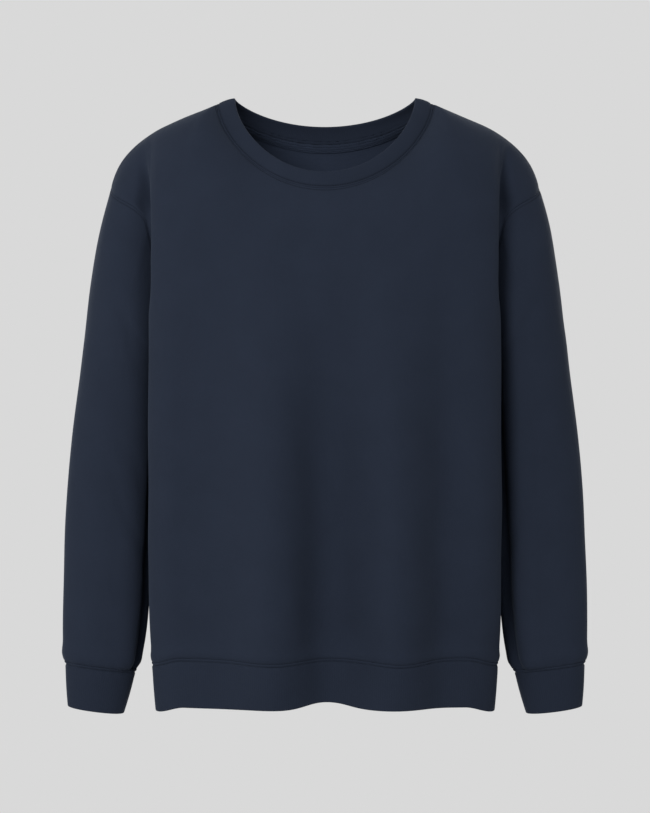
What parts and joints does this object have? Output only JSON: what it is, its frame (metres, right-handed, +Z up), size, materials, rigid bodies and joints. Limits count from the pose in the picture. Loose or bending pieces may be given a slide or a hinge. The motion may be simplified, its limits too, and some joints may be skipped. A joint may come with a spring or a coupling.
{
  "type": "crewneck sweatshirt",
  "caption": "Plain navy crewneck sweatshirt in its worn, hollow shape, with long hanging sleeves and ribbed neckband, hem band and cuffs.",
  "frame": {"origin": "midway between the two neck points, where the shoulder seams meet the neckband and the garment rests on its wearer", "axes": "+X towards the wearer's left, -Y towards the front, +Z up, from the hem to the neck"},
  "size_m": [0.605, 0.2054, 0.7087],
  "materials": {
    "fleece": "matte",
    "rib": "matte"
  },
  "bodies": {
    "root": {"front": "fleece", "back": "fleece", "sleeve_left": "fleece", "sleeve_right": "fleece", "neckband": "rib", "hem_band": "rib", "cuff_left": "rib", "cuff_right": "rib", "neck_tape": "fleece"}
  },
  "joints": []
}
